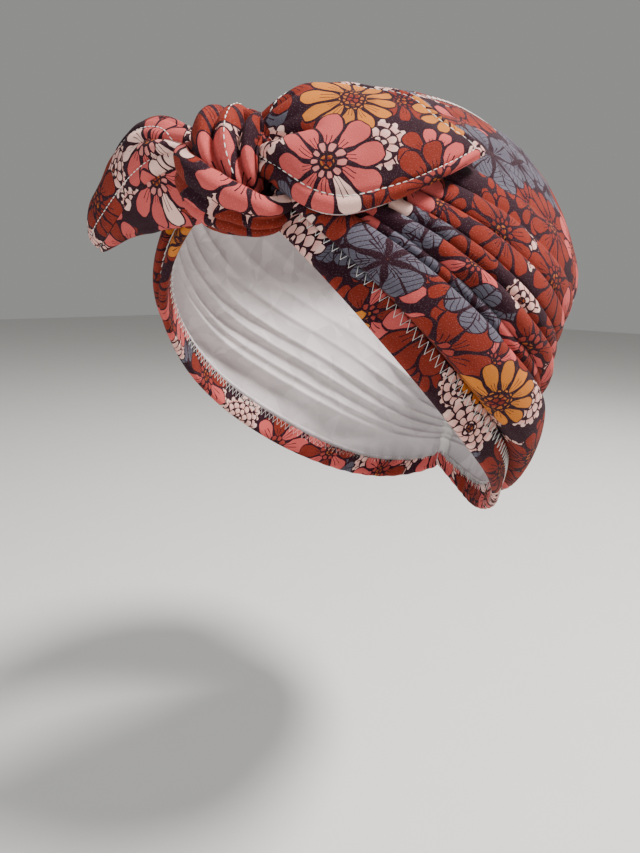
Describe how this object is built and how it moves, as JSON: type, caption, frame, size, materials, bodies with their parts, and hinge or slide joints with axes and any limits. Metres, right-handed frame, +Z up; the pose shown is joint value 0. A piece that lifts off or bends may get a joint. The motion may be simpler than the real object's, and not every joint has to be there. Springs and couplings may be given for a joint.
{
  "type": "knotted headband",
  "caption": "Wide wrap headband in printed knit, tied at the front in a knot with two leaf-shaped tails and gathered at the nape by elastic.",
  "frame": {"origin": "middle of the wearer's head at its widest level, on the band's plane of symmetry", "axes": "+Z up, -Y the way the face looks, +X the wearer's left"},
  "size_m": [0.1786, 0.2143, 0.1828],
  "materials": {
    "printed_knit": "soft matt knit with a large floral print on dark plum",
    "knit_reverse": "unprinted pale reverse of the knit",
    "white_thread": "white sewing thread",
    "white_elastic": "woven white elastic"
  },
  "bodies": {
    "band": {"left_side_panel": "printed_knit", "right_side_panel": "printed_knit", "left_front_hem": "knit_reverse", "right_front_hem": "knit_reverse", "left_crown_hem": "knit_reverse", "right_crown_hem": "knit_reverse", "left_front_zigzag": "white_thread", "right_front_zigzag": "white_thread", "left_crown_zigzag": "white_thread", "right_crown_zigzag": "white_thread", "nape_elastic": "white_elastic", "gather_elastic": "white_elastic", "knot_core": "printed_knit", "knot_front_wrap": "printed_knit", "knot_cross_wrap": "printed_knit"},
    "left_tail": {"left_tie_face": "printed_knit", "left_tie_backing": "printed_knit", "left_tie_topstitch": "white_thread"},
    "right_tail": {"right_tie_face": "printed_knit", "right_tie_backing": "printed_knit", "right_tie_topstitch": "white_thread"}
  },
  "joints": [
    {"name": "left_tail_swing", "type": "hinge", "parent": "band", "child": "left_tail", "pos_m": [0.016, -0.093, 0.06], "axis": [0, 0, -1], "range_deg": [0, 65], "stiffness_Nm_per_rad": 0.04},
    {"name": "right_tail_flop", "type": "hinge", "parent": "band", "child": "right_tail", "pos_m": [-0.02, -0.097, 0.056], "axis": [0, 1, 0], "range_deg": [-20, 35], "stiffness_Nm_per_rad": 0.04}
  ]
}
